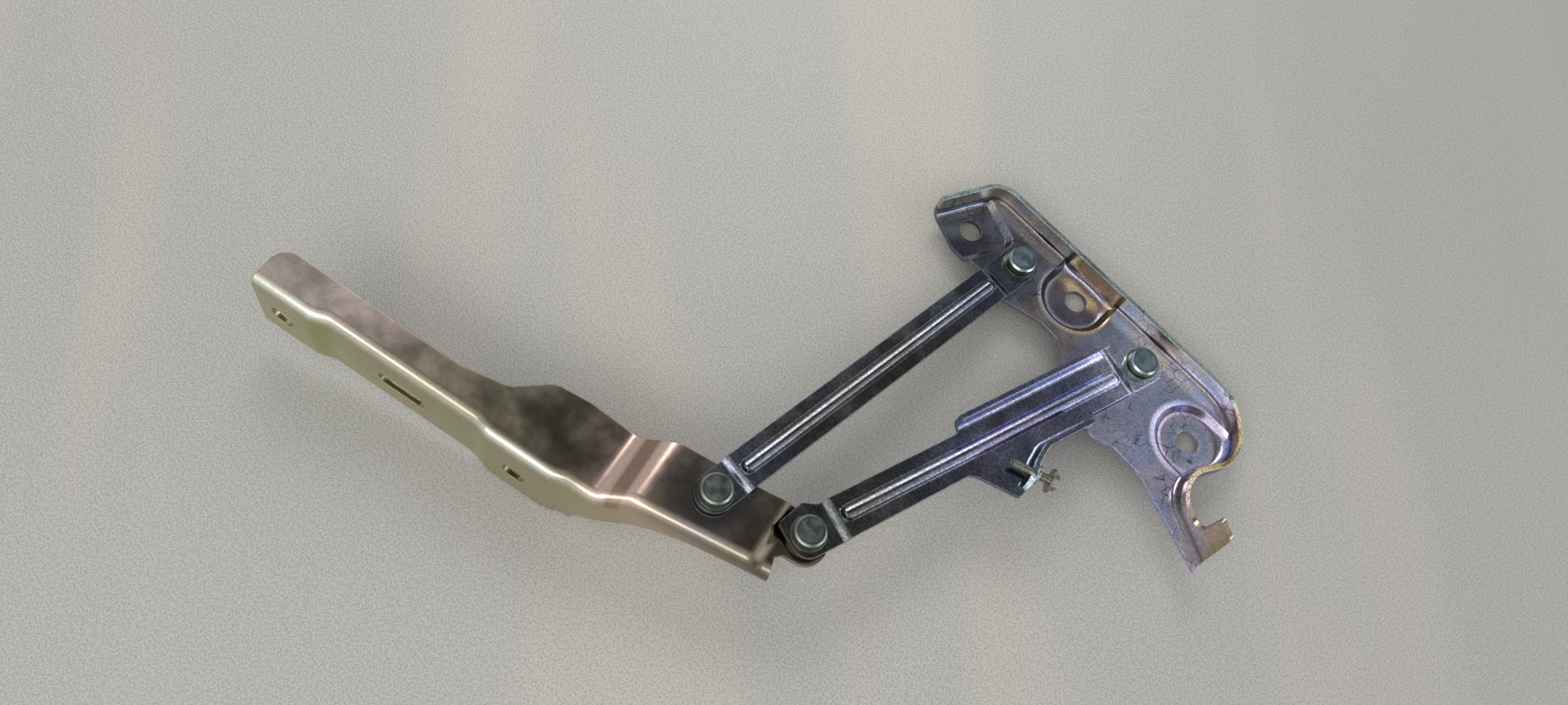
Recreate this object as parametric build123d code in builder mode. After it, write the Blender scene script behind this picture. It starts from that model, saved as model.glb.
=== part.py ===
from build123d import *
import os
from math import atan2, cos, degrees, hypot, radians, sin, tan

os.makedirs("parts", exist_ok=True)

# Sheet thickness and clearances
sheet = 2.5
run_gap = 0.3
pin_fit = 0.05

# Pivots seen from above, with hole 2 of the body bracket at the origin
pivot_a = (-48.4, -213.2)
pivot_b = (-33.1, -12.0)
pivot_c = (-7.1, -195.4)
pivot_d = (45.2, -6.35)

# Turned pieces of a pivot
shank_radius = 4.0
bush_radius = 6.0
collar_radius = 8.4
collar_height = 1.2
washer_radius = 9.0
washer_height = 1.0
head_radius = 7.5
head_height = 4.4
head_bevel = 1.0
tail_radius = 6.5
tail_height = 1.8

# Body bracket
pad_step = 3.0
pad_slope = 45
mount_radius = 6.0
hole_1 = (-63.7, -13.0)
hole_2 = (0.0, 0.0)
hole_3 = (88.0, -15.7)
wall_face = 14.8
wall_height = 16.5
wall_corner = 16.0
wall_end = 92.6
wall_end_radius = 36.0
wall_turn = (113.0, -7.9)
wall_turn_radius = 19.5
wall_bend = 3.0
end_wall_angle = 66.9
end_wall_corner = -69.7
wall_dip = 13.0
tab_height = 34.0
tab_start = 117.5
tab_end = 129.3
tab_rake = 3.0
tab_angle = -28.3
notch = (95.1, -41.7)
notch_radius = 15.0
lower_edge_radius = 6.0

# Heights of the pivot stack
plate_top = pad_step + sheet
link_bottom = plate_top + run_gap + washer_height
link_top = link_bottom + sheet
collar_top = link_top + collar_height
head_bottom = collar_top + run_gap
head_top = head_bottom + head_height

# Links
joggle = 2.2
joggle_run = 3.0
joggle_bend = 3.0
upper_width = 19.0
upper_joggle_a = 11.5
upper_joggle_b = 17.5
rib_height = 1.5
rib_width = 7.5
rib_slope = 50
rib_crown = 0.9
lower_width = 20.0
lower_joggle_c = 13.0
lower_joggle_d = 12.0
lower_rib_width = 8.0
flange_bend = 2.5
side_flange_face = 15.5
side_flange_height = 12.5
side_flange_start = 88.8
side_flange_end = 182.5
end_round = 8.5
ear_flange_height = 10.5


def plan(height=0.0, origin=(0.0, 0.0), angle=0.0):
    """A level plane at a height, turned about the vertical."""
    turn = radians(angle)
    return Plane(origin=(origin[0], origin[1], height), x_dir=(cos(turn), sin(turn), 0), z_dir=(0, 0, 1))


def side(origin=(0.0, 0.0), angle=0.0):
    """A standing plane: x runs along a direction in plan and y is up."""
    turn = radians(angle)
    along = (cos(turn), sin(turn), 0)
    return Plane(origin=(origin[0], origin[1], 0), x_dir=along, z_dir=(sin(turn), -cos(turn), 0))


def heading(start, end):
    """The angle in plan from one point to another."""
    return degrees(atan2(end[1] - start[1], end[0] - start[0]))


def distance(start, end):
    return hypot(end[0] - start[0], end[1] - start[1])


def rounded_outline(corners, plane=Plane.XY):
    """A closed outline on a plane from its corners, each with its own radius."""
    with BuildSketch(plane) as outline:
        with BuildLine():
            Polyline(*[point for point, radius in corners], close=True)
        make_face()
        for point, radius in corners:
            if radius > 0:
                fillet(outline.vertices().sort_by_distance(point)[0], radius)
    return outline.sketch


# Body bracket
far = 160.0
tab_direction = (cos(radians(tab_angle)), sin(radians(tab_angle)))
end_wall_direction = (cos(radians(end_wall_angle)), sin(radians(end_wall_angle)))


def wall_region(height, inset):
    """Everything inside the wall at an inset from its outer face, open far below."""
    left_foot = (end_wall_corner - far * end_wall_direction[0], wall_face - far * end_wall_direction[1])
    right_foot = (notch[0] + far * tab_direction[0], notch[1] + far * tab_direction[1])
    corners = [
        (left_foot, 0), ((end_wall_corner, wall_face), wall_corner),
        ((wall_end, wall_face), wall_end_radius), (wall_turn, wall_turn_radius), (notch, notch_radius),
        (right_foot, 0), ((right_foot[0], left_foot[1]), 0),
    ]
    with BuildSketch(plan(height)) as region:
        add(rounded_outline(corners, plan(height)))
        if inset > 0:
            offset(amount=-inset)
    return region.sketch


def above_lower_edge():
    """Everything above the lower edge of the bracket in plan."""
    turns = [
        (-62.4, -28.6), (-46.0, -28.4), (-25.5, -31.8), (-4.0, -25.8),
        (7.0, -26.4), (50.6, -54.5), (64.0, -49.6), (80.0, -50.4),
    ]
    left, right, behind = -110.0, 140.0, 60.0
    first = [((left, -10.0), 0)]
    last = [((right, -73.0), 0), ((right, behind), 0), ((left, behind), 0)]
    return rounded_outline(first + [(turn, lower_edge_radius) for turn in turns] + last)


def above_rim():
    """What the side view leaves off above the wall and round the raised tab."""
    return rounded_outline([
        ((-far, wall_height), 0), ((90.0, wall_height), 20.0), ((106.0, wall_dip), 10.0),
        ((tab_start, wall_dip - 0.5), 6.0), ((tab_start, tab_height), 1.5),
        ((tab_end - tab_rake, tab_height), 1.5),
        ((tab_end, -1.0), 0), ((far, -1.0), 0), ((far, far), 0), ((-far, far), 0),
    ])


def pad_contours(height, grow):
    """The three recessed pads at the bottom of their slopes, grown by an amount."""
    with BuildSketch(plan(height)) as pads:
        with BuildLine():
            end_pad = FilletPolyline((-95.0, 16.4), (-45.6, -3.1), (-62.0, -44.5), radius=3.5)
            Polyline(end_pad @ 1, (-120.0, -44.5), end_pad @ 0)
        make_face()
        with Locations((-1.0, -1.0)):
            Circle(15.5)
        with Locations((-1.0, 19.0)):
            Rectangle(31.0, 40.0)
    with BuildSketch(plan(height)) as round_pad:
        with Locations(hole_3):
            Circle(16.0)
        with Locations((97.0, -8.0)):
            Circle(8.5)
        with Locations((103.0, -18.0)):
            Circle(4.0)
        with Locations((97.3, -30.0)):
            Circle(2.0)
        make_hull()
    with BuildSketch(plan(height)) as contours:
        add(pads.sketch)
        add(round_pad.sketch)
        offset(amount=grow)
    return contours.sketch


def folded_shell(height, inset, bend, top):
    """The region inside the wall, raised from a height, with its lower edge rounded as the fold is."""
    open_sides = 2
    with BuildPart() as shell:
        add(wall_region(height, inset))
        extrude(amount=top - height)
        fold = shell.faces().sort_by(Axis.Z)[0].edges().sort_by(Axis.Y)[open_sides:]
        fillet(fold, radius=bend)
    return shell.part


def make_bracket():
    slope_bend = sheet * tan(radians(pad_slope / 2))
    slope_run = pad_step / tan(radians(pad_slope))
    top = tab_height + sheet
    outer_bend = wall_bend + sheet
    with BuildPart() as bosses:
        add(pad_contours(0.0, slope_bend))
        extrude(amount=pad_step, taper=-pad_slope)
        add(pad_contours(pad_step, slope_bend + slope_run))
        extrude(amount=2 * outer_bend)
        add(folded_shell(0.0, 0.0, outer_bend, top), mode=Mode.INTERSECT)
    with BuildPart() as recesses:
        add(pad_contours(sheet, 0.0))
        extrude(amount=pad_step, taper=-pad_slope)
        add(pad_contours(plate_top, slope_run))
        extrude(amount=2 * outer_bend)
        add(folded_shell(sheet, sheet, wall_bend, top), mode=Mode.INTERSECT)
    with BuildPart() as outline:
        add(above_lower_edge())
        extrude(amount=top)
    with BuildPart() as rim_cut:
        with BuildSketch(Plane.XZ.offset(-far)):
            add(above_rim())
        extrude(amount=2 * far)
    with BuildPart() as bracket:
        add(folded_shell(pad_step, 0.0, outer_bend, top))
        add(bosses.part)
        add(outline.part, mode=Mode.INTERSECT)
        add(folded_shell(plate_top, sheet, wall_bend, top + 1.0), mode=Mode.SUBTRACT)
        add(recesses.part, mode=Mode.SUBTRACT)
        add(rim_cut.part, mode=Mode.SUBTRACT)
        with Locations(hole_1, hole_2, hole_3):
            Hole(radius=mount_radius)
        with Locations(pivot_b, pivot_d):
            Hole(radius=shank_radius)
    return bracket.part


def strip_levels(levels, bend, width):
    """A flat strip that steps through its levels, each given where the middle of the sheet runs."""
    with BuildPart() as strip:
        with BuildSketch(Plane.XZ):
            with BuildLine():
                FilletPolyline(*levels, radius=bend)
            trace(line_width=sheet)
        extrude(amount=width, both=True)
    return strip.part


def rib_pieces(start, end, offset_across, width, level):
    """A pressed rib between two places on a strip: what stands up and the hollow below it."""
    length = end - start - width
    middle = ((start + end) / 2, offset_across)
    hollow_width = width - 2 * sheet * tan(radians(rib_slope / 2))
    with BuildPart() as crown:
        with BuildSketch(plan(level)):
            with Locations(middle):
                SlotCenterToCenter(length, width)
        extrude(amount=rib_height, taper=90 - rib_slope)
        fillet(crown.faces().sort_by(Axis.Z)[-1].edges(), radius=rib_crown)
    with BuildPart() as hollow:
        with BuildSketch(plan(level - sheet)):
            with Locations(middle):
                SlotCenterToCenter(length, hollow_width)
        extrude(amount=rib_height, taper=90 - rib_slope)
    return crown.part, hollow.part


# Upper link, from pivot A to pivot B
link_middle = link_top - sheet / 2
raised_middle = link_middle + joggle
raised_top = link_top + joggle


def make_upper_link():
    length = distance(pivot_a, pivot_b)
    end = length - upper_joggle_b
    levels = [
        (-upper_width, link_middle), (upper_joggle_a, link_middle),
        (upper_joggle_a + joggle_run, raised_middle), (end - joggle_run, raised_middle),
        (end, link_middle), (length + upper_width, link_middle),
    ]
    rib_start = upper_joggle_a + joggle_run + 1.0
    crown, hollow = rib_pieces(rib_start, end - joggle_run - 1.0, 0.0, rib_width, raised_top)
    with BuildPart() as link:
        add(strip_levels(levels, joggle_bend, upper_width))
        with BuildSketch():
            with Locations((length / 2, 0)):
                SlotCenterToCenter(length, upper_width)
        extrude(amount=2 * link_top, mode=Mode.INTERSECT)
        add(crown)
        add(hollow, mode=Mode.SUBTRACT)
        with Locations((0, 0), (length, 0)):
            Hole(radius=bush_radius)
    return plan(0.0, pivot_a, heading(pivot_a, pivot_b)).location * link.part


# Lower link, from pivot C to pivot D
screw_place = (108.75, -23.85)
screw_height = 16.0
screw_radius = 2.0
screw_collar_radius = 4.4
screw_collar = 1.6
ear_inside = 16.5
ear_side = -16.0
ear_corner = (97.8, -29.6)
ear_slope_start = (113.5, -20.2)
ear_slope_end = (104.0, -27.5)
ear_turn = atan2(ear_slope_end[1] - ear_slope_start[1], ear_slope_end[0] - ear_slope_start[0])
screw_out = (-sin(ear_turn), cos(ear_turn))


def lower_outline():
    length = distance(pivot_c, pivot_d)
    half = lower_width / 2
    return [
        ((-9.8, 10.5), 1.5), ((4.6, 13.8), 2.0), ((10.5, half), 4.0),
        ((side_flange_start - 16.0, half), 1.0), ((side_flange_start - 12.0, side_flange_face), 1.0),
        ((side_flange_end, side_flange_face), 2.0), ((side_flange_end + 3.5, half + 1.0), 2.0),
        ((length + half + 0.5, half + 0.8), end_round), ((length + half + 0.5, -half - 0.5), end_round),
        ((156.0, -half - 0.8), 1.5), ((151.5, ear_side), 1.5), ((121.5, ear_side), 8.0),
        (ear_slope_start, 6.0), (ear_slope_end, 12.0), (ear_corner, 1.5), ((83.2, -half), 7.0),
        ((-9.3, -half - 0.6), end_round),
    ]


def folded_flange(window, floor, height, on_fold):
    """The part of the lower link inside a window, with its edge folded up to a height."""
    corner, far_corner = window
    size = (far_corner[0] - corner[0], far_corner[1] - corner[1])
    centre = (corner[0] + size[0] / 2, corner[1] + size[1] / 2)
    blocks = []
    for inset, level, bend in ((0.0, floor, flange_bend + sheet), (sheet, floor + sheet, flange_bend)):
        with BuildPart() as block:
            with BuildSketch(plan(level)):
                add(rounded_outline(lower_outline(), plan(level)))
                if inset > 0:
                    offset(amount=-inset)
                with Locations(centre):
                    Rectangle(size[0], size[1], mode=Mode.INTERSECT)
            extrude(amount=height - level + inset)
            fillet(block.faces().sort_by(Axis.Z)[0].edges().filter_by(on_fold), radius=bend)
        blocks.append(block.part)
    return blocks


def ear_slope_cut(floor):
    """What is left off above the ear's flange, which runs down to nothing at its tip."""
    crest = floor + ear_flange_height
    return rounded_outline([
        ((ear_corner[0] - 6.0, floor + sheet), 0), ((ear_corner[0] + 1.0, floor + sheet), 2.0),
        ((ear_corner[0] + 8.0, crest), 4.0), ((ear_corner[0] + 12.0, crest), 0),
        ((ear_corner[0] + 12.0, crest + sheet), 0), ((ear_corner[0] - 6.0, crest + sheet), 0),
    ])


def make_lower_link():
    length = distance(pivot_c, pivot_d)
    end = length - lower_joggle_d
    floor = raised_middle - sheet / 2
    levels = [
        (-2 * lower_width, link_middle), (lower_joggle_c, link_middle),
        (lower_joggle_c + joggle_run, raised_middle), (end - joggle_run - 1.0, raised_middle),
        (end, link_middle), (length + lower_width, link_middle),
    ]
    rib_start = lower_joggle_c + joggle_run + 1.0
    crown, hollow = rib_pieces(rib_start, end - joggle_run - 1.5, 0.0, lower_rib_width, raised_top)
    side_window = ((side_flange_start - 6.0, 7.0), (end - joggle_run - 2.5, 20.0))
    ear_window = ((100.5, -35.0), (149.0, -9.0))
    side_crest = floor + side_flange_height
    ear_crest = floor + ear_flange_height
    cut_edge = ear_window[0][0] + 0.01
    side_outer, side_inner = folded_flange(side_window, floor, side_crest, lambda e: e.center().Y > 12)
    ear_outer, ear_inner = folded_flange(
        ear_window, floor, ear_crest, lambda e: e.center().Y < -13 and e.center().X > cut_edge,
    )
    with BuildPart() as windows:
        for corner, far_corner in (side_window, ear_window):
            with BuildSketch():
                centre = ((corner[0] + far_corner[0]) / 2, (corner[1] + far_corner[1]) / 2)
                with Locations(centre):
                    Rectangle(far_corner[0] - corner[0], far_corner[1] - corner[1])
            extrude(amount=4 * link_top)
    with BuildPart() as link:
        add(strip_levels(levels, joggle_bend, 2 * lower_width))
        add(rounded_outline(lower_outline()))
        extrude(amount=2 * link_top, mode=Mode.INTERSECT)
        add(windows.part, mode=Mode.SUBTRACT)
        add(side_outer)
        add(ear_outer)
        add(side_inner, mode=Mode.SUBTRACT)
        add(ear_inner, mode=Mode.SUBTRACT)
        add(rounded_outline([
            ((side_flange_start - 20.0, lower_width / 2), 0), ((side_flange_start, lower_width / 2), 1.5),
            ((side_flange_start, 2 * lower_width), 0), ((side_flange_start - 20.0, 2 * lower_width), 0),
        ]))
        extrude(amount=4 * link_top, mode=Mode.SUBTRACT)
        with BuildSketch(Plane.XZ.offset(ear_inside)):
            add(ear_slope_cut(floor))
        extrude(amount=lower_width, mode=Mode.SUBTRACT)
        add(crown)
        add(hollow, mode=Mode.SUBTRACT)
        with Locations((0, 0), (length, 0)):
            Hole(radius=bush_radius)
        with BuildSketch(screw_plane()):
            Circle(screw_collar_radius)
        extrude(amount=screw_collar)
        with BuildSketch(screw_plane().offset(screw_collar)):
            Circle(screw_radius + pin_fit)
        extrude(amount=-screw_collar - 3 * sheet, mode=Mode.SUBTRACT)
    return plan(0.0, pivot_c, heading(pivot_c, pivot_d)).location * link.part


def screw_plane():
    """The plane across the stop screw, on the outer face of the ear's flange, facing outward."""
    origin = (screw_place[0], screw_place[1], screw_height)
    return Plane(origin=origin, x_dir=(0, 0, 1), z_dir=(screw_out[0], screw_out[1], 0))


# Bonnet arm, from pivot A
arm_angle = 13.5
arm_web_top = -1.5
arm_riser = (-44.0, -28.0)
arm_riser_bend = 20.0
ear_top = 3.2
ear_end = 55.9
ear_riser = (28.5, 33.4)
ear_riser_bend = 8.0
arm_fold = 3.5
arm_hole_1 = (-213.7, -24.0)
arm_hole_3 = (-83.8, -27.5)
arm_slot = (-148.0, -24.5)
arm_slot_length = 26.0
arm_slot_width = 11.5
arm_end = -227.0
flange_face = -31.3
flange_pad_1 = -34.1
flange_pad_2 = -33.6
flange_pad_1_side = -195.5
flange_pad_2_sides = (-99.5, -65.5)
flange_jog = 7.0
flange_joggle_bend = 15.0
arm_depth = 60.0
beyond_left = -260.0
beyond_right = 70.0


def flange_region(inset):
    """Everything behind the outer face of the arm's flange, open far above."""
    with BuildSketch() as region:
        with BuildLine():
            face = FilletPolyline(
                (beyond_left, flange_pad_1), (flange_pad_1_side, flange_pad_1),
                (flange_pad_1_side + flange_jog, flange_face), (-107.5, flange_face),
                (flange_pad_2_sides[0], flange_pad_2), (flange_pad_2_sides[1], flange_pad_2),
                (flange_pad_2_sides[1] + flange_jog, flange_face), (-43.0, flange_face), (-28.0, -25.0),
                (60.0, -14.0), radius=flange_joggle_bend,
            )
            Polyline(face @ 1, (60.0, far), (beyond_left, far), face @ 0)
        make_face()
        if inset > 0:
            offset(amount=-inset)
    return region.sketch


def below_web(shift):
    """The region below the middle of the arm's web, moved up or down by an amount, across the whole arm."""
    low = arm_web_top - sheet / 2
    high = plate_top - sheet / 2
    ear = ear_top - sheet / 2
    left = beyond_left - 100
    with BuildPart() as region:
        with BuildSketch(Plane.XZ):
            with BuildLine():
                rise = FilletPolyline(
                    (left, low), (arm_riser[0], low), (arm_riser[1], high), (0.0, high), radius=arm_riser_bend,
                )
                drop = FilletPolyline(
                    rise @ 1, (ear_riser[0], high), (ear_riser[1], ear), (far, ear), radius=ear_riser_bend,
                )
                Polyline(drop @ 1, (far, -far), (left, -far), rise @ 0)
            make_face()
            offset(amount=shift)
        extrude(amount=2 * far, both=True)
    return region.part


def arm_shell(inset, bend, shift):
    """The region under the web and behind the flange, with the fold between them rounded."""
    with BuildPart() as shell:
        add(flange_region(inset))
        extrude(amount=arm_depth / 4)
        add(flange_region(inset))
        extrude(amount=-arm_depth)
        add(below_web(shift), mode=Mode.INTERSECT)
        fold = shell.edges().filter_by(lambda e: e.center().Z > -arm_depth / 4 and -50 < e.center().Y < -8)
        fillet(fold, radius=bend)
    return shell.part


def arm_outline():
    """The upper edge of the web, round the ear at pivot C and back along the cut end."""
    return [
        ((arm_end, -60.0), 0.5), ((arm_end, -12.2), 9.0), ((-128.0, -13.2), 20.0), ((-104.0, -8.6), 15.0),
        ((-88.0, 4.8), 12.0), ((-70.0, 6.4), 15.0), ((-42.0, 5.0), 15.0), ((-25.0, 11.4), 20.0),
        ((16.0, 14.6), 20.0), ((ear_end, 19.9), 11.0), ((ear_end, -4.6), 10.0), ((39.8, -5.0), 1.2),
        ((37.2, -7.6), 1.2), ((40.5, -18.0), 1.0), ((42.0, -60.0), 0.5),
    ]


def arm_lower_edge():
    """The lower edge of the flange, seen from the side."""
    return [
        (beyond_left, -41.0), (-190.0, -42.0), (-112.0, -43.5), (-97.0, -47.5), (-68.0, -47.0),
        (-53.6, -45.0), (-51.6, -37.0), (-43.0, -28.5), (-30.0, -25.5), (-16.0, -14.0),
        (2.0, -7.5), (20.0, -5.5), (beyond_right, -5.0),
    ]


def make_arm():
    turn = radians(arm_angle)
    gap_c = (pivot_c[0] - pivot_a[0], pivot_c[1] - pivot_a[1])
    local_c = (gap_c[0] * cos(turn) + gap_c[1] * sin(turn), gap_c[1] * cos(turn) - gap_c[0] * sin(turn))
    with BuildPart() as arm:
        add(arm_shell(0.0, arm_fold + sheet, sheet / 2))
        add(arm_shell(sheet, arm_fold, -sheet / 2), mode=Mode.SUBTRACT)
        add(rounded_outline(arm_outline(), plan(-arm_depth)))
        extrude(amount=arm_depth + 20.0, mode=Mode.INTERSECT)
        with BuildSketch(Plane.XZ):
            with BuildLine():
                edge = FilletPolyline(*arm_lower_edge(), radius=2.0)
                Polyline(edge @ 1, (beyond_right, -far), (beyond_left, -far), edge @ 0)
            make_face()
        extrude(amount=far, both=True, mode=Mode.SUBTRACT)
        with BuildSketch(Plane.XZ):
            with Locations(arm_hole_1, arm_hole_3):
                Circle(mount_radius)
            with Locations(arm_slot):
                SlotOverall(arm_slot_length, arm_slot_width)
        extrude(amount=arm_depth, both=True, mode=Mode.SUBTRACT)
        with Locations((0, 0), local_c):
            Hole(radius=shank_radius)
    return plan(0.0, pivot_a, arm_angle).location * arm.part


# Turned pieces
def turned(place, profile):
    """A round piece about an upright axis, from its profile of radius and height."""
    with BuildPart() as piece:
        with BuildSketch(side(place)):
            with BuildLine():
                Polyline(*profile, close=True)
            make_face()
        revolve(axis=Axis((place[0], place[1], 0), (0, 0, 1)))
    return piece.part


def make_rivet(place, sheet_bottom, underside):
    """A headed rivet whose tail is peened below the sheet that holds it."""
    tail_bottom = sheet_bottom - tail_height
    return turned(place, [
        (0, tail_bottom), (tail_radius, tail_bottom), (tail_radius, sheet_bottom), (shank_radius, sheet_bottom),
        (shank_radius, underside),
        (head_radius, underside), (head_radius, head_top - head_bevel), (head_radius - head_bevel, head_top),
        (0, head_top),
    ])


def make_pin(place, foot, underside):
    """The head and shank of the pivot that slides over the arm."""
    return turned(place, [
        (0, foot), (shank_radius, foot), (shank_radius, underside), (head_radius, underside),
        (head_radius, head_top - head_bevel), (head_radius - head_bevel, head_top), (0, head_top),
    ])


def make_tail(place, sheet_bottom):
    """A peened tail that fills its hole flush with the top of the sheet."""
    tail_bottom = sheet_bottom - tail_height
    return turned(place, [
        (0, tail_bottom), (tail_radius, tail_bottom), (tail_radius, sheet_bottom), (shank_radius, sheet_bottom),
        (shank_radius, sheet_bottom + sheet), (0, sheet_bottom + sheet),
    ])


def make_bush(place):
    """A sleeve in the link's eye with a collar on top of the link."""
    bore = shank_radius + pin_fit
    return turned(place, [
        (bore, link_bottom), (bush_radius, link_bottom), (bush_radius, link_top), (collar_radius, link_top),
        (collar_radius, collar_top), (bore, collar_top),
    ])


def make_washer(place, bottom):
    """A flat washer or spacer below a link."""
    bore = shank_radius + pin_fit
    return turned(place, [(bore, bottom), (washer_radius, bottom), (washer_radius, link_bottom), (bore, link_bottom)])


# Stop screw
screw_reach = 10.2
screw_stand_off = 6.8
screw_disc_radius = 6.0
screw_disc = 1.0
screw_hex = 7.0
screw_hex_height = 2.8
screw_point = 1.0


def make_stop_screw():
    with BuildPart() as screw:
        base = screw_plane()
        with BuildSketch(base.offset(-sheet - screw_reach)):
            Circle(screw_radius)
        extrude(amount=screw_reach + sheet + screw_stand_off)
        chamfer(screw.faces().sort_by(Axis(base.origin, base.z_dir))[0].edges(), length=screw_point)
        with BuildSketch(base.offset(screw_stand_off)):
            Circle(screw_disc_radius)
        extrude(amount=screw_disc)
        with BuildSketch(base.offset(screw_stand_off + screw_disc)):
            RegularPolygon(screw_hex / 2, 6, major_radius=False)
        extrude(amount=screw_hex_height)
    return plan(0.0, pivot_c, heading(pivot_c, pivot_d)).location * screw.part


pieces = {
    "body_bracket": make_bracket(),
    "upper_link": make_upper_link(),
    "lower_link": make_lower_link(),
    "bonnet_arm": make_arm(),
    "stop_screw": make_stop_screw(),
    "pivot_pin_a": make_pin(pivot_a, plate_top + run_gap, collar_top),
    "rivet_tail_a": make_tail(pivot_a, pad_step),
    "pivot_rivet_b": make_rivet(pivot_b, pad_step, head_bottom),
    "pivot_rivet_c": make_rivet(pivot_c, ear_top - sheet, head_bottom),
    "pivot_rivet_d": make_rivet(pivot_d, pad_step, head_bottom),
}
for letter, place, rest in (
    ("a", pivot_a, plate_top), ("b", pivot_b, plate_top), ("c", pivot_c, ear_top), ("d", pivot_d, plate_top),
):
    pieces["bush_" + letter] = make_bush(place)
    pieces["washer_" + letter] = make_washer(place, rest + run_gap)

for name, piece in pieces.items():
    piece.label = name
    export_step(piece, "parts/" + name + ".step")
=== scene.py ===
from math import cos, pi, radians, sin

import bmesh
import bpy
from mathutils import Matrix, Vector


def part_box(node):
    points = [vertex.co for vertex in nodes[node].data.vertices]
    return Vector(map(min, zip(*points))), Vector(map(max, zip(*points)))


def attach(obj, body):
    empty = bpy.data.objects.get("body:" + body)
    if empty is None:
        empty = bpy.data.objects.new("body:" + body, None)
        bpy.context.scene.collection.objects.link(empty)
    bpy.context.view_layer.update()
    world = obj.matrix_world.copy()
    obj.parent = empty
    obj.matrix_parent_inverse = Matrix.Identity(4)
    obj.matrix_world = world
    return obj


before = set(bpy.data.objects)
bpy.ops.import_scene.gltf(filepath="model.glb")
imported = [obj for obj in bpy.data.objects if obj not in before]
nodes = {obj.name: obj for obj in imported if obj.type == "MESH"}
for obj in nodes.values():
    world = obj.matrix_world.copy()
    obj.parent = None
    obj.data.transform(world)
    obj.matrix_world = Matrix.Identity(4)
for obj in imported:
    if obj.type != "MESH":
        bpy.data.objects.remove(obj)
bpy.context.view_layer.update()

MM = 0.001


def place(x, y, z=0.0):
    """A point of the row frame, given in millimetres."""
    return Vector((x * MM, y * MM, z * MM))


# Places on the hinge that the finish follows
PIVOT_A = place(-48.4, -213.2, 5.5)
PIVOT_B = place(-33.1, -12.0, 5.5)
PIVOT_C = place(-7.1, -195.4, 5.5)
PIVOT_D = place(45.2, -6.35, 5.5)
HOLE_1 = place(-63.7, -13.0, 2.5)
HOLE_2 = place(0.0, 0.0, 2.5)
HOLE_3 = place(88.0, -15.7, 2.5)
TAB = place(109.0, -49.0, 24.0)
ARM_END = place(-261.0, -273.0, -2.0)
SCREW_SEAT = place(44.88, -96.95, 16.0)
SCREW_AXIS = Vector((0.9266, 0.3760, 0.0)).normalized()
ARM_ACROSS = Vector((-0.23345, 0.97237, 0.0))

# The last stretch of a pressed rib, in which it runs out, in millimetres
RIB_END = 3

# How far a rib rises and the sheet sinks towards a pad, on top of the modelled shape, in millimetres
RIB_RISE = 1.2
PAD_SINK = 1.7

# Scales of the plating's fine grain and of its gloss, per metre
GRAIN_SCALE = 900.0
GLOSS_SCALE = 60.0

# How far cracks wander, in metres, and their colour
CRACK_BEND = 0.01
CRACK_DARK = (0.03, 0.03, 0.04)

# The rings left by turning, in radians per metre
TURNING_RINGS = 9000.0


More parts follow.
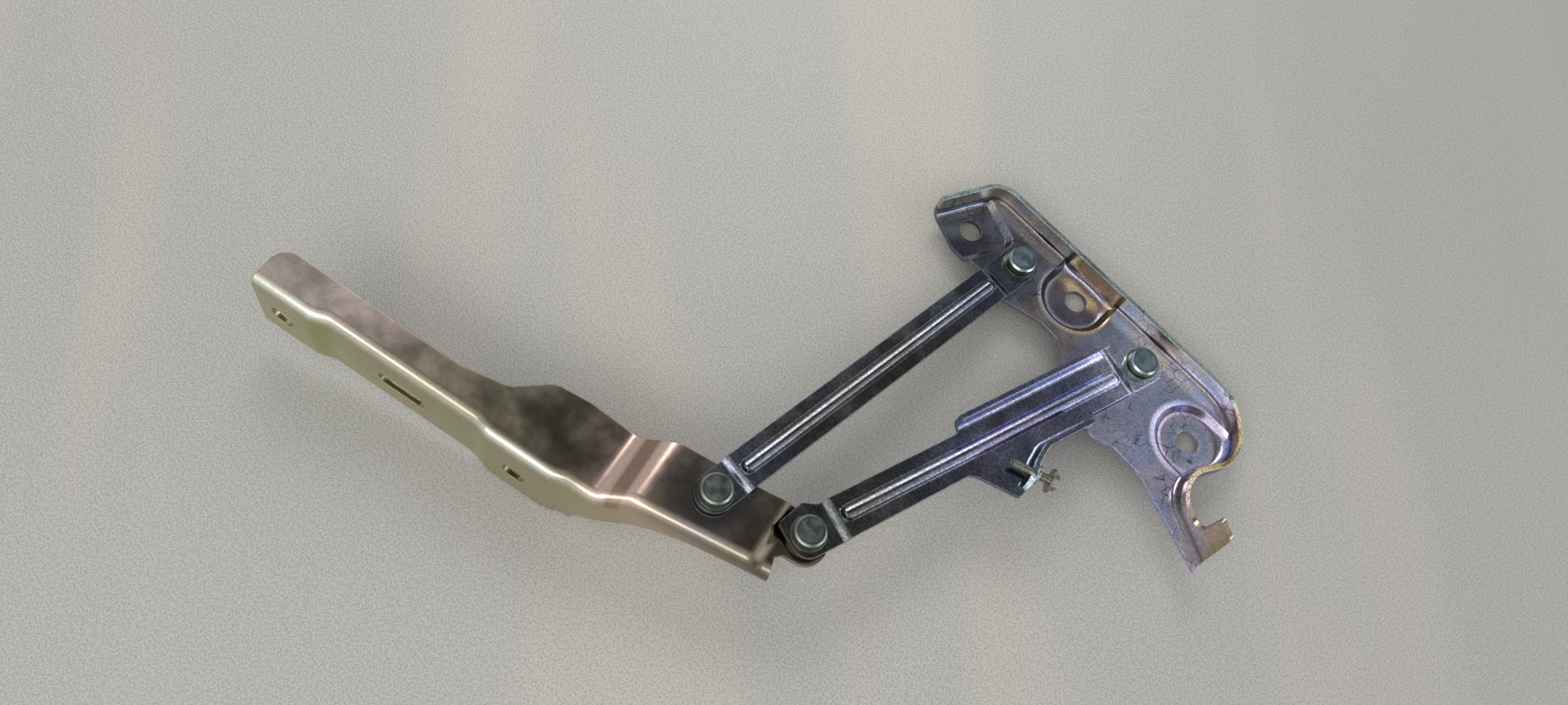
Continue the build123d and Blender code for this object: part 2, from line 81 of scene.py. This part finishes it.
class Shader:
    """A material's node tree, built from the texture coordinates to the surface."""

    def __init__(self, name):
        self.material = bpy.data.materials.new(name)
        self.material.use_nodes = True
        self.tree = self.material.node_tree
        self.surface = self.tree.nodes["Principled BSDF"]
        self.coordinates = self.tree.nodes.new("ShaderNodeTexCoord").outputs["Object"]

    def node(self, kind, inputs=None, **settings):
        """A new node with its settings, its inputs linked to sockets or set to values."""
        made = self.tree.nodes.new(kind)
        for key, value in settings.items():
            setattr(made, key, value)
        for key, value in (inputs or {}).items():
            if isinstance(value, bpy.types.NodeSocket):
                self.tree.links.new(value, made.inputs[key])
            else:
                made.inputs[key].default_value = value
        return made

    def math(self, operation, first, second=0.0):
        return self.node("ShaderNodeMath", {0: first, 1: second}, operation=operation).outputs[0]

    def times(self, first, second):
        return self.math("MULTIPLY", first, second)

    def noise(self, scale, detail=3.0, roughness=0.55, distortion=0.0, stretch=None, offset=0.0):
        """Noise, drawn out along the direction that stretch gives in degrees, by a factor."""
        vector = self.coordinates
        if stretch or offset:
            settings = {"Vector": vector, "Location": (offset, offset, offset)}
            mapping = self.node("ShaderNodeMapping", settings, vector_type="TEXTURE")
            if stretch:
                mapping.inputs["Rotation"].default_value = (0, 0, radians(stretch[0]))
                mapping.inputs["Scale"].default_value = (stretch[1], 1, 1)
            vector = mapping.outputs[0]
        inputs = {"Vector": vector, "Scale": scale, "Detail": detail}
        inputs.update({"Roughness": roughness, "Distortion": distortion})
        return self.node("ShaderNodeTexNoise", inputs).outputs["Fac"]

    def window(self, value, low, high, start=0.0, end=1.0):
        """A value carried smoothly from one range to another, held at both ends."""
        inputs = {"Value": value, "From Min": low, "From Max": high, "To Min": start, "To Max": end}
        return self.node("ShaderNodeMapRange", inputs, interpolation_type="SMOOTHSTEP").outputs[0]

    def below(self, value, low, high):
        """1 up to the low value, fading to 0 at the high one."""
        return self.window(value, low, high, 1.0, 0.0)

    def band(self, value, rise, fall):
        """1 between two values, with a soft start and a soft end, each given as a range."""
        return self.times(self.window(value, *rise), self.below(value, *fall))

    def coordinate(self, axis):
        """The place along one axis of the row frame, in metres."""
        return self.node("ShaderNodeSeparateXYZ", {0: self.coordinates}).outputs[axis]

    def along(self, start, end):
        """How far a point lies from one place to another, from 0 to 1."""
        step = end - start
        scaled = step / step.length_squared
        from_start = {0: self.coordinates, 1: start}
        moved = self.node("ShaderNodeVectorMath", from_start, operation="SUBTRACT").outputs[0]
        inputs = {0: moved, 1: scaled}
        return self.node("ShaderNodeVectorMath", inputs, operation="DOT_PRODUCT").outputs["Value"]

    def spot(self, centre, inner, outer):
        """1 inside a radius round a place, fading to 0 at an outer radius."""
        inputs = {0: self.coordinates, 1: centre}
        far = self.node("ShaderNodeVectorMath", inputs, operation="DISTANCE").outputs["Value"]
        return self.below(far, inner * MM, outer * MM)

    def ring(self, centre, inner, outer):
        """1 between two circles round a place, each with the width that it fades over."""
        return self.math("SUBTRACT", self.spot(centre, *outer), self.spot(centre, *inner))

    def ramp(self, value, stops):
        """A colour by a value, from stops of position and colour."""
        made = self.node("ShaderNodeValToRGB", {"Fac": value})
        elements = made.color_ramp.elements
        while len(elements) < len(stops):
            elements.new(0.5)
        for element, (position, colour) in zip(elements, stops):
            element.position = position
            element.color = (*colour, 1.0)
        return made.outputs["Color"]

    def mix(self, share, first, second, blend="MIX"):
        """Two colours mixed, with each input a socket or a value."""
        made = self.node("ShaderNodeMix", data_type="RGBA", blend_type=blend)
        sockets = (made.inputs[0], made.inputs[6], made.inputs[7])
        for socket, value in zip(sockets, (share, first, second)):
            if isinstance(value, bpy.types.NodeSocket):
                self.tree.links.new(value, socket)
            elif isinstance(value, (int, float)):
                socket.default_value = value
            else:
                socket.default_value = (*value, 1.0)
        return made.outputs[2]

    def rib(self, start, end, near, far, width, rise):
        """The rounded crown of a pressed rib between two pivots, as a height in metres."""
        line = (end - start).normalized()
        run = self.along(start, start + line)
        across = self.along(start, start + Vector((-line.y, line.x, 0.0)))
        share = self.math("DIVIDE", across, 0.5 * width * MM)
        crown = self.math("SUBTRACT", 1.0, self.times(share, share))
        crown = self.times(self.math("MAXIMUM", crown, 0.0), rise * MM)
        ends = self.band(run, (near * MM, (near + RIB_END) * MM), ((far - RIB_END) * MM, far * MM))
        return self.times(crown, ends)

    def dish(self, centre, inner, outer, depth):
        """The soft rise of the sheet round a recessed pad, as a height in metres."""
        return self.times(self.spot(centre, inner, outer), -depth * MM)

    def finish(self, colour, roughness, height=None, relief=0.0, metallic=1.0, edge=0.35, form=None):
        """Connects the colour, the roughness and the relief, over edges softened as pressed edges are."""
        self.surface.inputs["Metallic"].default_value = metallic
        self.tree.links.new(colour, self.surface.inputs["Base Color"])
        self.tree.links.new(roughness, self.surface.inputs["Roughness"])
        soft = self.node("ShaderNodeBevel", {"Radius": edge * MM}, samples=4).outputs[0]
        if form is not None:
            inputs = {"Height": form, "Normal": soft, "Strength": 1.0, "Distance": 1.0}
            soft = self.node("ShaderNodeBump", inputs).outputs[0]
        if height is not None:
            inputs = {"Height": height, "Normal": soft, "Strength": 1.0, "Distance": relief * MM}
            soft = self.node("ShaderNodeBump", inputs).outputs[0]
        self.tree.links.new(soft, self.surface.inputs["Normal"])
        return self.material


def cracks(shader, scale, width, amount):
    """Fine broken dark lines in the plating."""
    bent = shader.noise(scale * 0.5, detail=2.0)
    shifted = shader.node("ShaderNodeVectorMath", {0: shader.coordinates, 1: (0, 0, 0)}, operation="ADD")
    shift = shader.node("ShaderNodeVectorMath", {0: bent, "Scale": CRACK_BEND}, operation="SCALE").outputs[0]
    shader.tree.links.new(shift, shifted.inputs[1])
    inputs = {"Vector": shifted.outputs[0], "Scale": scale}
    cells = shader.node("ShaderNodeTexVoronoi", inputs, feature="DISTANCE_TO_EDGE").outputs["Distance"]
    line = shader.below(cells, 0.0, width)
    gaps = shader.window(shader.noise(scale * 0.35, offset=3.0), 0.48, 0.60)
    return shader.times(shader.times(line, gaps), amount)


def plating(
    name, colours, tint=None, speckle=0.25, rough=(0.14, 0.26), crack=None, cloud=18.0, relief=0.004, form=None,
):
    """Zinc plating with coloured clouds, fine speckle and, where given, tints, cracks and a soft form."""
    shader = Shader(name)
    clouds = shader.noise(cloud, detail=3.0, distortion=0.4)
    stops = [(i / (len(colours) - 1), c) for i, c in enumerate(colours)]
    colour = shader.ramp(shader.window(clouds, 0.3, 0.7), stops)
    if tint:
        for share, second in tint(shader):
            colour = shader.mix(share, colour, second)
    grain = shader.noise(GRAIN_SCALE, detail=2.0)
    dots = shader.window(grain, 0.35, 0.68, 1.0 - speckle, 1.0 + 0.4 * speckle)
    grey = shader.node("ShaderNodeCombineColor", {0: dots, 1: dots, 2: dots}).outputs[0]
    colour = shader.mix(1.0, colour, grey, "MULTIPLY")
    if crack:
        colour = shader.mix(cracks(shader, **crack), colour, CRACK_DARK)
    roughness = shader.window(shader.noise(GLOSS_SCALE, offset=5.0), 0.3, 0.7, *rough)
    return shader.finish(colour, roughness, grain, relief, edge=0.5, form=form and form(shader))


def bracket_form(shader):
    """The sheet sinks softly towards the middle and the right pad."""
    middle_pad = HOLE_2 + place(-1.0, -1.0)
    first = shader.dish(middle_pad, 13.0, 21.5, PAD_SINK)
    return shader.math("ADD", first, shader.dish(HOLE_3, 14.0, 22.5, PAD_SINK))


def upper_form(shader):
    """The upper link's rib is rounded across."""
    return shader.rib(PIVOT_A, PIVOT_B, near=15.0, far=181.0, width=6.4, rise=RIB_RISE)


def lower_form(shader):
    """The lower link's rib is rounded across."""
    return shader.rib(PIVOT_C, PIVOT_D, near=16.5, far=180.0, width=6.8, rise=RIB_RISE)


# Each tint gives, one after another, how far a colour covers what is below it, and the colour
def bracket_tint(shader):
    """Dark at the left, lavender at the right, with warm walls, painted shade in the fold at their foot and a
    painted pale blue highlight along their top edge.
    """
    x = shader.coordinate(0)
    height = shader.coordinate(2)
    left = shader.below(shader.along(HOLE_1, HOLE_3), 0.25, 0.75)
    yield shader.times(left, 0.85), (0.22, 0.22, 0.26)
    yield shader.times(shader.spot(HOLE_1, 14.0, 24.0), 0.85), (0.15, 0.16, 0.22)
    yield shader.times(shader.spot(HOLE_2, 13.0, 17.0), 0.8), (0.24, 0.20, 0.24)
    yield shader.times(shader.spot(HOLE_3, 13.0, 20.0), 0.8), (0.62, 0.57, 0.76)
    yield shader.times(shader.ring(HOLE_3, (6.5, 8.5), (9.5, 12.5)), 0.65), (0.30, 0.50, 0.70)
    wall = shader.window(height, 6.0 * MM, 10.0 * MM)
    yield shader.times(wall, 0.75), (0.50, 0.47, 0.42)
    gold = shader.times(wall, shader.window(shader.noise(34.0, offset=7.0), 0.45, 0.58))
    yield shader.times(gold, 0.8), (0.62, 0.50, 0.27)
    # Painted shade: the concave fold at the foot of the walls is darkened in its colour.
    painted_fold_shade = shader.band(height, (5.52 * MM, 6.0 * MM), (7.4 * MM, 9.6 * MM))
    yield shader.times(painted_fold_shade, 0.85), (0.13, 0.105, 0.085)
    turn = shader.times(wall, shader.window(x, 92.0 * MM, 104.0 * MM))
    yield shader.times(turn, 0.8), (0.44, 0.33, 0.18)
    tab = shader.spot(TAB, 14.0, 24.0)
    yield shader.times(shader.times(tab, wall), 0.9), (0.66, 0.53, 0.43)
    end_wall = shader.times(wall, shader.below(x, -62.0 * MM, -56.0 * MM))
    yield shader.times(end_wall, 0.8), (0.60, 0.53, 0.34)
    low_wall = shader.window(height, 4.5 * MM, 7.0 * MM)
    middle = shader.times(low_wall, shader.below(shader.math("ABSOLUTE", x), 14.0 * MM, 19.0 * MM))
    yield shader.times(middle, 0.85), (0.60, 0.48, 0.24)
    right_of_pad = shader.window(x, 2.0 * MM, 9.0 * MM)
    rise = shader.times(shader.ring(HOLE_2, (15.0, 16.5), (19.5, 21.5)), right_of_pad)
    yield shader.times(rise, 0.8), (0.60, 0.46, 0.26)
    # Painted highlight: a pale blue line along the walls' top edge, where the edge catches the light.
    rim_highlight = shader.band(height, (15.9 * MM, 16.4 * MM), (16.6 * MM, 17.2 * MM))
    yield shader.times(rim_highlight, 0.8), (0.50, 0.66, 0.70)


def upper_tint(shader):
    """Bluer towards pivot B."""
    near_b = shader.window(shader.along(PIVOT_A, PIVOT_B), 0.55, 0.95)
    yield near_b, (0.15, 0.17, 0.22)


def lower_tint(shader):
    """Pale at pivot D, green-black at pivot C, with a blue ear and a painted bright highlight along its rim."""
    run = shader.along(PIVOT_C, PIVOT_D)
    yield shader.window(run, 0.78, 0.98), (0.72, 0.74, 0.98)
    yield shader.times(shader.below(run, 0.12, 0.55), 0.85), (0.15, 0.16, 0.13)
    ear = shader.spot(SCREW_SEAT, 10.0, 22.0)
    yield shader.times(ear, 0.6), (0.14, 0.22, 0.28)
    # Painted highlight: the ear's top edge is coloured pale as if catching the light.
    ear_rim_highlight = shader.times(ear, shader.window(shader.coordinate(2), 13.0 * MM, 16.0 * MM))
    yield shader.times(ear_rim_highlight, 0.7), (0.56, 0.66, 0.70)


def arm_tint(shader):
    """Rose at the far end, stained brown in the middle, with painted highlights and shade across the joggle,
    and an olive and rose flange below a roll painted pale as a highlight.
    """
    away = shader.along(PIVOT_A, ARM_END)
    across = shader.along(PIVOT_A, PIVOT_A + ARM_ACROSS)
    yield shader.window(away, 0.55, 0.98), (0.53, 0.45, 0.41)
    stain = shader.times(
        shader.window(across, -26.0 * MM, -14.0 * MM), shader.window(away, 0.22, 0.95, 1.0, 0.25))
    blotch = shader.window(shader.noise(55.0, detail=5.0, offset=4.0), 0.35, 0.6, 0.35, 1.0)
    yield shader.times(shader.times(stain, blotch), 0.85), (0.15, 0.135, 0.10)
    # Rose over the joggle: partly the plating's colour, partly a painted highlight of its bends.
    yield shader.times(shader.band(away, (0.08, 0.13), (0.20, 0.26)), 0.85), (0.60, 0.44, 0.38)
    # Painted shade: a dark stripe on the joggle's riser stands in for its dark reflection.
    riser_shade = shader.band(away, (0.145, 0.155), (0.175, 0.185))
    yield shader.times(riser_shade, 0.8), (0.22, 0.14, 0.10)
    yield shader.times(shader.spot(PIVOT_A, 17.0, 27.0), 0.75), (0.24, 0.22, 0.22)
    # Painted highlight: the rounded fold between web and flange is coloured pale green.
    roll_highlight = shader.below(across, -31.0 * MM, -28.5 * MM)
    yield shader.times(roll_highlight, 0.85), (0.60, 0.63, 0.52)
    flange = shader.below(shader.coordinate(2), -9.0 * MM, -3.0 * MM)
    yield shader.times(flange, 0.95), (0.49, 0.49, 0.22)
    pink = shader.window(shader.noise(32.0, offset=9.0), 0.48, 0.64)
    yield shader.times(shader.times(flange, pink), 0.8), (0.58, 0.40, 0.33)
    low = shader.below(across, -26.0 * MM, -18.0 * MM)
    warm_low = shader.times(low, shader.below(away, 0.10, 0.26))
    yield shader.times(warm_low, 0.6), (0.66, 0.50, 0.40)
    yield shader.times(shader.below(away, -0.26, -0.17), 0.8), (0.74, 0.60, 0.42)


def turned(name, face, rim_highlight_colour, painted_side_shade, centre_node):
    """A turned head: a dull face with fine rings, painted shade in a groove, a painted highlight on its rim and
    painted shade on its side.
    """
    shader = Shader(name)
    low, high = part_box(centre_node)
    middle = (low + high) / 2
    in_plan = {0: shader.coordinates, 1: (1, 1, 0)}
    flat = shader.node("ShaderNodeVectorMath", in_plan, operation="MULTIPLY").outputs[0]
    inputs = {0: flat, 1: (middle.x, middle.y, 0)}
    radius = shader.node("ShaderNodeVectorMath", inputs, operation="DISTANCE").outputs["Value"]
    # Painted highlight: a brighter ring of colour on the head's top bevel.
    rim_highlight = shader.window(radius, 6.5 * MM, 6.9 * MM)
    clouds = shader.window(shader.noise(160.0), 0.35, 0.65)
    colour = shader.mix(clouds, face, tuple(0.6 * c for c in face))
    # Painted shade: a dark ring in the groove just inside the rim.
    painted_groove_shade = shader.band(radius, (5.5 * MM, 5.9 * MM), (6.0 * MM, 6.3 * MM))
    colour = shader.mix(shader.times(painted_groove_shade, 0.7), colour, tuple(0.3 * c for c in face))
    colour = shader.mix(rim_highlight, colour, rim_highlight_colour)
    # Painted shade: the head's side wall is coloured darker.
    side = shader.below(shader.coordinate(2), high.z - 1.3 * MM, high.z - 0.8 * MM)
    colour = shader.mix(side, colour, painted_side_shade)
    rings = shader.math("SINE", shader.times(radius, TURNING_RINGS))
    roughness = shader.window(shader.noise(200.0), 0.3, 0.7, 0.2, 0.34)
    return shader.finish(colour, roughness, rings, relief=0.006, edge=0.5)


# Colours that several turned pieces share
BUSH_GREENS = [(0.15, 0.19, 0.11), (0.22, 0.26, 0.17)]
WASHER_GREYS = [(0.26, 0.27, 0.25), (0.36, 0.37, 0.36)]
# The heads' rim colour is a painted highlight.
HEAD_RIM_HIGHLIGHT = (0.36, 0.39, 0.37)

# The finish of every node. The screw's thread takes the finish of the stop screw.
finishes = {
    "body_bracket": plating(
        "bracket_zinc", [(0.50, 0.57, 0.80), (0.62, 0.63, 0.82), (0.48, 0.54, 0.80), (0.66, 0.60, 0.80)],
        tint=bracket_tint, crack={"scale": 150.0, "width": 0.045, "amount": 0.8}, form=bracket_form,
    ),
    "upper_link": plating(
        "upper_link_zinc", [(0.15, 0.145, 0.14), (0.22, 0.23, 0.28), (0.17, 0.18, 0.23)], tint=upper_tint,
        speckle=0.35, rough=(0.12, 0.22), form=upper_form,
    ),
    "lower_link": plating(
        "lower_link_zinc", [(0.22, 0.23, 0.33), (0.31, 0.29, 0.44), (0.22, 0.27, 0.40)], tint=lower_tint,
        speckle=0.4, rough=(0.12, 0.24), form=lower_form,
    ),
    "bonnet_arm": plating(
        "arm_zinc", [(0.27, 0.235, 0.18), (0.32, 0.28, 0.205), (0.23, 0.195, 0.155), (0.34, 0.27, 0.23)],
        tint=arm_tint, speckle=0.08, rough=(0.14, 0.24), cloud=12.0, relief=0.001,
    ),
}
for letter in "abcd":
    head = "pivot_pin_a" if letter == "a" else "pivot_rivet_" + letter
    face = (0.22, 0.245, 0.23) if letter in "ac" else (0.22, 0.30, 0.36)
    # The darker side colour of each head is painted shade.
    side = (0.12, 0.13, 0.11) if letter in "ac" else (0.10, 0.13, 0.15)
    finishes[head] = turned("head_" + letter, face, HEAD_RIM_HIGHLIGHT, side, head)
    finishes["bush_" + letter] = plating("bush_green_" + letter, BUSH_GREENS, speckle=0.2)
    finishes["washer_" + letter] = plating("washer_steel_" + letter, WASHER_GREYS)
finishes["rivet_tail_a"] = plating("tail_steel", [(0.25, 0.25, 0.24), (0.35, 0.35, 0.34)])
finishes["stop_screw"] = plating("screw_steel", [(0.24, 0.23, 0.19), (0.38, 0.36, 0.30)])

for name, material in finishes.items():
    mesh = nodes[name].data
    mesh.materials.clear()
    mesh.materials.append(material)

# The floor touches the low edge of the arm's flange and the back of the bracket, as in the photograph
FLOOR_NORMAL = Vector((-0.0166, -0.1647, 0.9862)).normalized()
FLOOR_POINT = place(0.0, 0.0, -2.05)

# Half the side of the floor, in metres, and the scale of its speckle, per metre
FLOOR_HALF = 3.0
STONE_SCALE = 1000.0


def standing(spot, towards, front):
    """The matrix that stands a thing at a spot, with its front axis in a direction."""
    return Matrix.Translation(spot) @ towards.to_track_quat(front, "Y").to_matrix().to_4x4()


def make_floor():
    """A pale stone slab, speckled, with wide pale bands and painted shade darkening its far side."""
    mesh = bpy.data.meshes.new("floor")
    corners = [(x * FLOOR_HALF, y * FLOOR_HALF, 0) for x, y in ((-1, -1), (1, -1), (1, 1), (-1, 1))]
    mesh.from_pydata(corners, [], [(0, 1, 2, 3)])
    floor = bpy.data.objects.new("floor", mesh)
    floor.matrix_world = standing(FLOOR_POINT, FLOOR_NORMAL, "Z")
    bpy.context.scene.collection.objects.link(floor)
    shader = Shader("pale_stone")
    fine = shader.noise(STONE_SCALE, detail=2.0, roughness=0.6)
    bands = shader.noise(9.0, detail=2.0, offset=2.0, stretch=(146.0, 6.0))
    stops = [(0.0, (0.31, 0.305, 0.285)), (1.0, (0.45, 0.44, 0.415))]
    colour = shader.ramp(shader.window(fine, 0.35, 0.65), stops)
    pale = shader.times(shader.window(bands, 0.46, 0.66), shader.window(fine, 0.3, 0.6))
    colour = shader.mix(shader.times(pale, 0.6), colour, (0.50, 0.46, 0.40))
    # Painted shade: the floor's colour darkens towards its far side.
    away = shader.along(Vector((0, 0, 0)), Vector((0.25, 0.25, 0)))
    far_side_shade = shader.window(away, -0.3, 1.0, 0.0, 0.55)
    colour = shader.mix(far_side_shade, colour, (0.24, 0.24, 0.235))
    roughness = shader.window(fine, 0.3, 0.7, 0.32, 0.5)
    mesh.materials.append(shader.finish(colour, roughness, fine, relief=0.3, metallic=0.0))


make_floor()


def area_light(name, spot, size, power, colour):
    """A soft rectangular light that faces the middle of the hinge."""
    light = bpy.data.lights.new(name, "AREA")
    light.shape = "RECTANGLE"
    light.size, light.size_y = size
    light.energy = power
    light.color = colour
    thing = bpy.data.objects.new(name, light)
    thing.matrix_world = standing(spot, CENTRE - spot, "-Z")
    bpy.context.scene.collection.objects.link(thing)


def screw_thread(name, begin, turns, inner=1.9, outer=2.35, pitch=0.8, steps=24):
    """A helical ridge on the stop screw's shank. All but the counts are in millimetres from its seat."""
    side = Vector((0, 0, 1))
    other = SCREW_AXIS.cross(side)
    half = 0.4 * pitch * MM
    shape = bmesh.new()
    rings = []
    for i in range(turns * steps + 1):
        angle = 2 * pi * i / steps
        out = (cos(angle) * side + sin(angle) * other) * MM
        middle = SCREW_SEAT + SCREW_AXIS * (begin + pitch * i / steps) * MM
        foot = middle + out * inner
        corners = (foot - SCREW_AXIS * half, middle + out * outer, foot + SCREW_AXIS * half)
        rings.append([shape.verts.new(corner) for corner in corners])
    for first, second in zip(rings, rings[1:]):
        for k in range(3):
            shape.faces.new((first[k], second[k], second[(k + 1) % 3], first[(k + 1) % 3]))
    shape.faces.new(rings[0])
    shape.faces.new(reversed(rings[-1]))
    bmesh.ops.recalc_face_normals(shape, faces=shape.faces)
    mesh = bpy.data.meshes.new(name)
    shape.to_mesh(mesh)
    shape.free()
    mesh.materials.append(finishes["stop_screw"])
    thread = bpy.data.objects.new(name, mesh)
    bpy.context.scene.collection.objects.link(thread)
    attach(thread, "lower_link_body")


screw_thread("stop_screw_thread_inside", -11.7, 11)
screw_thread("stop_screw_thread_outside", 2.0, 5)

# Soft light from a window at the left, from the front and from the right
CENTRE = place(-40, -120, 0)
area_light("window", Vector((-1.0, 0.75, 1.5)), (1.0, 0.8), 12.0, (1.0, 0.995, 0.98))
area_light("front", Vector((0.1, -1.5, 1.0)), (1.4, 0.6), 7.0, (1.0, 0.99, 0.96))
area_light("right", Vector((1.4, 0.65, 0.62)), (1.6, 0.6), 9.0, (0.95, 0.97, 1.0))

# Surroundings: a pale room, dark straight above, where the flat sheet looks, and bright at its sides
world = bpy.data.worlds.new("studio")
bpy.context.scene.world = world
world.use_nodes = True
sky = world.node_tree
direction = sky.nodes.new("ShaderNodeTexCoord").outputs["Generated"]


def sky_levels(towards, levels):
    """Brightness of the surroundings by the cosine of the angle from one direction."""
    dot = sky.nodes.new("ShaderNodeVectorMath")
    dot.operation = "DOT_PRODUCT"
    dot.inputs[1].default_value = Vector(towards).normalized()
    sky.links.new(direction, dot.inputs[0])
    ramp = sky.nodes.new("ShaderNodeValToRGB")
    stops = ramp.color_ramp.elements
    while len(stops) < len(levels):
        stops.new(0.5)
    for stop, (position, level) in zip(stops, levels):
        stop.position = position
        stop.color = (level, level, level, 1)
    sky.links.new(dot.outputs["Value"], ramp.inputs["Fac"])
    return ramp.outputs["Color"]


def sky_sum(first, second):
    """Two parts of the surroundings added up."""
    added = sky.nodes.new("ShaderNodeMix")
    added.data_type = "RGBA"
    added.blend_type = "ADD"
    added.inputs[0].default_value = 1.0
    sky.links.new(first, added.inputs[6])
    sky.links.new(second, added.inputs[7])
    return added.outputs[2]


overhead = sky_levels(
    (-0.17, 0.40, 0.90),
    [(0.0, 0.30), (0.45, 0.62), (0.80, 0.85), (0.89, 0.60), (0.94, 0.40), (0.978, 0.14), (1.0, 0.11)],
)
in_front = sky_levels((0.10, -0.86, 0.45), [(0.0, 0.0), (0.55, 0.0), (0.90, 0.75), (1.0, 0.95)])
at_right = sky_levels((0.80, 0.55, 0.22), [(0.0, 0.0), (0.60, 0.0), (0.90, 0.85), (1.0, 1.1)])
background = sky.nodes["Background"]
sky.links.new(sky_sum(sky_sum(overhead, in_front), at_right), background.inputs["Color"])
background.inputs["Strength"].default_value = 0.85

# The camera stands where the photograph was taken from
CAMERA_PLACE = place(18.66, -376.31, 501.27)
CAMERA_RIGHT = Vector((0.69302, 0.69354, 0.19677))
CAMERA_FORWARD = Vector((-0.17196, 0.42409, -0.88914))
FOCAL_PIXELS = 1925.0
IMAGE_WIDTH = 2560.0
SENSOR_WIDTH = 36.0


def make_camera():
    """A camera with the photograph's place, direction and angle of view."""
    camera = bpy.data.cameras.new("camera")
    camera.sensor_width = SENSOR_WIDTH
    camera.lens = SENSOR_WIDTH * FOCAL_PIXELS / IMAGE_WIDTH
    camera.clip_start = 0.01
    back = -CAMERA_FORWARD.normalized()
    right = CAMERA_RIGHT.normalized()
    up = back.cross(right)
    turn = Matrix((right, up, back)).transposed()
    thing = bpy.data.objects.new("camera", camera)
    thing.matrix_world = Matrix.Translation(CAMERA_PLACE) @ turn.to_4x4()
    bpy.context.scene.collection.objects.link(thing)
    bpy.context.scene.camera = thing


make_camera()
bpy.context.scene.view_settings.view_transform = "Standard"
